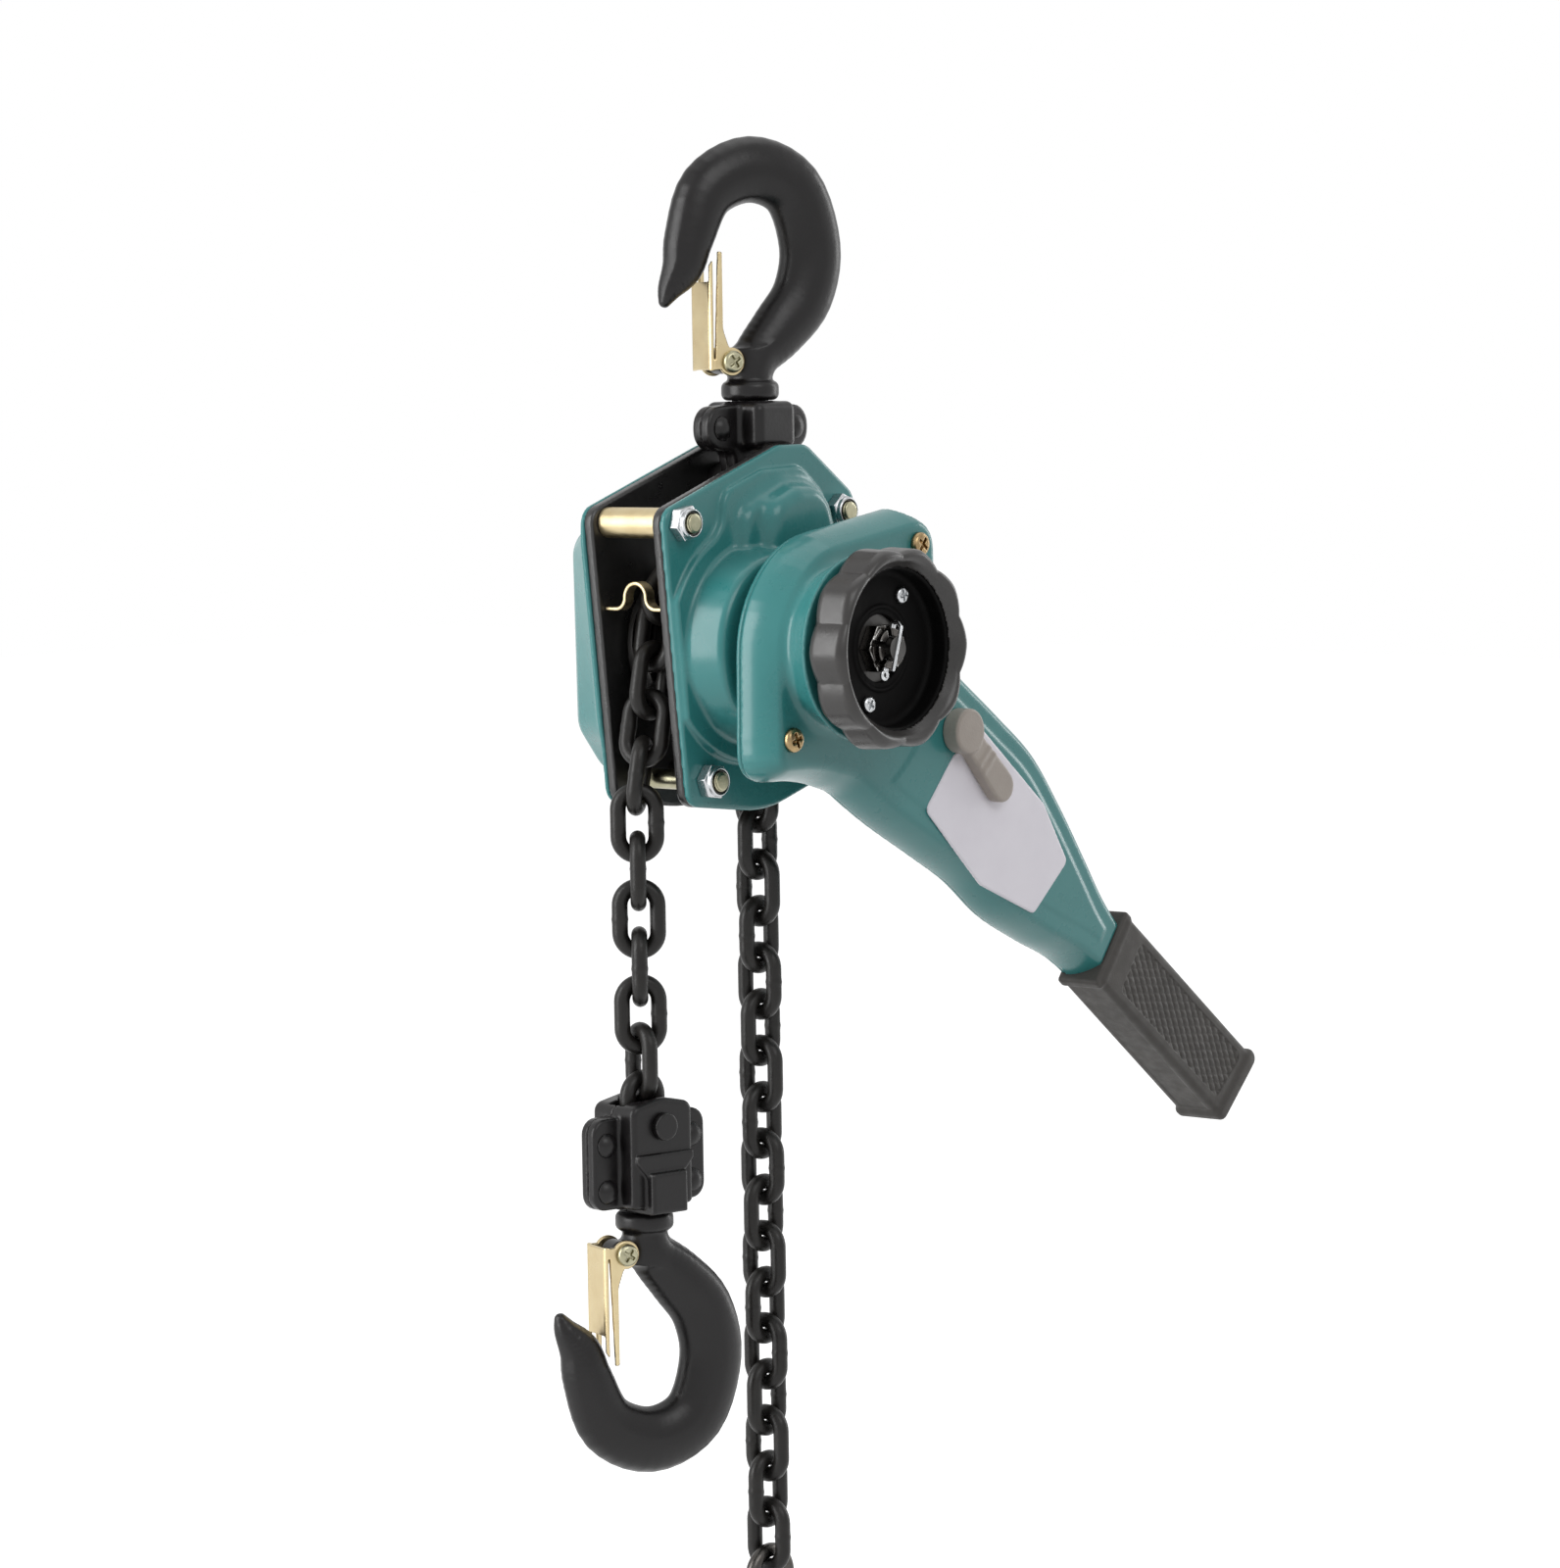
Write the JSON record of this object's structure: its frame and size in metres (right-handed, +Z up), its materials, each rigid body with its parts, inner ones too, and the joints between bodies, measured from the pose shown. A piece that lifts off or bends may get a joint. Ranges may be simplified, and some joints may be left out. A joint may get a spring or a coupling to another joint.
{
  "type": "lever chain hoist",
  "caption": "Hand-operated lever chain hoist with top and bottom latch hooks, ratchet lever, free-wheel handwheel and load chain.",
  "frame": {"origin": "saddle of the top hook's bowl, on the hook's swivel axis", "axes": "+Z up through the top hook, -Y out through the handwheel, +X towards the lever"},
  "size_m": [0.3392, 0.1445, 0.5683],
  "materials": {
    "teal_enamel": "gloss enamel on pressed steel",
    "black_enamel": "satin black on forged and pressed steel",
    "black_wheel": "semi-gloss black casting",
    "black_chain": "blackened alloy steel",
    "zinc": "bright zinc plate",
    "yellow_zinc": "yellow zinc plate",
    "plain_steel": "oiled machined steel",
    "bronze": "plain bearing bronze",
    "friction": "woven friction lining",
    "grip_rubber": "matt moulded rubber",
    "selector_grey": "satin grey casting",
    "bare_label": "blank foil, satin"
  },
  "bodies": {
    "top_hook": {"top_hook": "black_enamel", "top_hook_collar": "plain_steel", "top_latch_pin": "yellow_zinc", "top_latch_spring": "plain_steel"},
    "top_latch": {"top_latch": "yellow_zinc"},
    "top_yoke": {"top_yoke_front": "black_enamel", "top_yoke_rear": "black_enamel", "top_yoke_rivets": "black_enamel"},
    "hoist_frame": {"suspension_pin": "plain_steel", "suspension_spacers": "plain_steel", "side_plate_front": "black_enamel", "side_plate_rear": "black_enamel", "brake_cover": "teal_enamel", "gear_cover": "teal_enamel", "gear_cover_screws": "zinc", "stay_bolts": "yellow_zinc", "stay_nuts": "zinc", "stay_sleeves": "yellow_zinc", "chain_guide": "yellow_zinc", "chain_stripper": "plain_steel", "bearing_bushes": "bronze", "pawl_pins": "plain_steel", "pawl_springs": "plain_steel"},
    "ratchet_disc": {"ratchet_disc": "plain_steel"},
    "pawl_a": {"pawl_a": "plain_steel"},
    "pawl_b": {"pawl_b": "plain_steel"},
    "load_sheave": {"load_sheave": "plain_steel", "load_gear": "plain_steel", "chain_on_sheave": "black_chain"},
    "drive_shaft": {"pinion_shaft": "plain_steel", "brake_hub": "plain_steel", "friction_discs": "friction", "drive_gear": "plain_steel", "castle_nut": "zinc", "split_pin": "zinc"},
    "disc_gear_a": {"disc_gear_a": "plain_steel"},
    "disc_gear_b": {"disc_gear_b": "plain_steel"},
    "handwheel": {"handwheel": "black_wheel", "handwheel_screws": "zinc"},
    "lever": {"lever_case_front": "teal_enamel", "lever_case_rear": "teal_enamel", "lever_screws": "zinc", "lever_grip": "grip_rubber", "label_plate": "bare_label"},
    "selector": {"selector_knob": "selector_grey", "change_pawl": "plain_steel"},
    "load_chain_entry": {"load_chain_entry": "black_chain"},
    "load_chain": {"load_chain": "black_chain"},
    "tail_chain_entry": {"tail_chain_entry": "black_chain"},
    "tail_chain": {"tail_chain": "black_chain", "chain_end_stop": "zinc"},
    "hook_block": {"block_front": "black_enamel", "block_rear": "black_enamel", "block_rivets": "black_enamel", "anchor_pin": "plain_steel"},
    "bottom_hook": {"bottom_hook": "black_enamel", "bottom_hook_collar": "plain_steel", "bottom_latch_pin": "yellow_zinc", "bottom_latch_spring": "plain_steel"},
    "bottom_latch": {"bottom_latch": "yellow_zinc"}
  },
  "joints": [
    {"name": "top_latch_hinge", "type": "hinge", "parent": "top_hook", "child": "top_latch", "pos_m": [-0.01128, 0.0041, -0.05991], "axis": [0.342, 0.9397, 0], "range_deg": [0, 36], "stiffness_Nm_per_rad": 0.05, "springref_deg": -17.19},
    {"name": "top_hook_swivel", "type": "hinge", "parent": "top_hook", "child": "top_yoke", "pos_m": [0, 0, 0], "axis": [0, 0, 1], "continuous": true},
    {"name": "frame_tilt", "type": "hinge", "parent": "top_yoke", "child": "hoist_frame", "pos_m": [0, 0, -0.1055], "axis": [0, 1, 0], "range_deg": [-30, 30]},
    {"name": "ratchet_turn", "type": "hinge", "parent": "hoist_frame", "child": "ratchet_disc", "pos_m": [-0.02932, 0, -0.1655], "axis": [0, 1, 0], "range_deg": [0, 15]},
    {"name": "pawl_a_lift", "type": "hinge", "parent": "hoist_frame", "child": "pawl_a", "pos_m": [-0.04218, 0, -0.14131], "axis": [0, 1, 0], "range_deg": [-14, 1]},
    {"name": "pawl_b_lift", "type": "hinge", "parent": "hoist_frame", "child": "pawl_b", "pos_m": [-0.01645, 0, -0.18969], "axis": [0, 1, 0], "range_deg": [-14, 1]},
    {"name": "sheave_turn", "type": "hinge", "parent": "hoist_frame", "child": "load_sheave", "pos_m": [-0.02932, 0, -0.1655], "axis": [0, 1, 0], "range_deg": [-7.2, 7.2]},
    {"name": "drive_turn", "type": "hinge", "parent": "hoist_frame", "child": "drive_shaft", "pos_m": [-0.02932, 0, -0.1655], "axis": [0, 1, 0], "range_deg": [-115.2, 115.2]},
    {"name": "disc_gear_a_turn", "type": "hinge", "parent": "hoist_frame", "child": "disc_gear_a", "pos_m": [-0.02932, 0, -0.1405], "axis": [0, 1, 0], "range_deg": [-28.8, 28.8]},
    {"name": "disc_gear_b_turn", "type": "hinge", "parent": "hoist_frame", "child": "disc_gear_b", "pos_m": [-0.02932, 0, -0.1905], "axis": [0, 1, 0], "range_deg": [-28.8, 28.8]},
    {"name": "handwheel_pull", "type": "slide", "parent": "drive_shaft", "child": "handwheel", "axis": [0, -1, 0], "range_m": [0, 0.004]},
    {"name": "lever_swing", "type": "hinge", "parent": "hoist_frame", "child": "lever", "pos_m": [-0.02932, 0, -0.1655], "axis": [0, 1, 0], "continuous": true},
    {"name": "selector_turn", "type": "hinge", "parent": "lever", "child": "selector", "pos_m": [0.04138, 0, -0.2012], "axis": [0, 1, 0], "range_deg": [-20, 20]},
    {"name": "load_chain_feed", "type": "slide", "parent": "hoist_frame", "child": "load_chain_entry", "axis": [-0.12, 0, 0.9928], "range_m": [-0.004, 0.004]},
    {"name": "load_chain_swing", "type": "hinge", "parent": "load_chain_entry", "child": "load_chain", "pos_m": [-0.06852, 0, -0.22185], "axis": [0, 1, 0], "range_deg": [0, 12]},
    {"name": "tail_chain_feed", "type": "slide", "parent": "hoist_frame", "child": "tail_chain_entry", "axis": [0, 0, -1], "range_m": [-0.004, 0.004]},
    {"name": "tail_chain_swing", "type": "hinge", "parent": "tail_chain_entry", "child": "tail_chain", "pos_m": [0, 0, -0.21609], "axis": [0, 1, 0], "range_deg": [-12, 6]},
    {"name": "block_swing", "type": "hinge", "parent": "load_chain", "child": "hook_block", "pos_m": [-0.06852, 0, -0.34395], "axis": [0.1461, 0.9893, 0], "range_deg": [-12, 12]},
    {"name": "bottom_hook_swivel", "type": "hinge", "parent": "hook_block", "child": "bottom_hook", "pos_m": [-0.06852, 0, -0.43864], "axis": [0, 0, 1], "continuous": true},
    {"name": "bottom_latch_hinge", "type": "hinge", "parent": "bottom_hook", "child": "bottom_latch", "pos_m": [-0.07979, 0.0041, -0.39164], "axis": [-0.342, -0.9397, 0], "range_deg": [0, 36], "stiffness_Nm_per_rad": 0.05, "springref_deg": -17.19}
  ],
  "couplings": [
    {"joint": "pawl_a_lift", "follows": "ratchet_turn", "ratio": -0.8},
    {"joint": "pawl_b_lift", "follows": "ratchet_turn", "ratio": -0.8},
    {"joint": "drive_turn", "follows": "sheave_turn", "ratio": 16},
    {"joint": "disc_gear_a_turn", "follows": "sheave_turn", "ratio": -4},
    {"joint": "disc_gear_b_turn", "follows": "sheave_turn", "ratio": -4},
    {"joint": "load_chain_feed", "follows": "sheave_turn", "m_per_rad": 0.0286},
    {"joint": "tail_chain_feed", "follows": "sheave_turn", "m_per_rad": 0.0292}
  ]
}
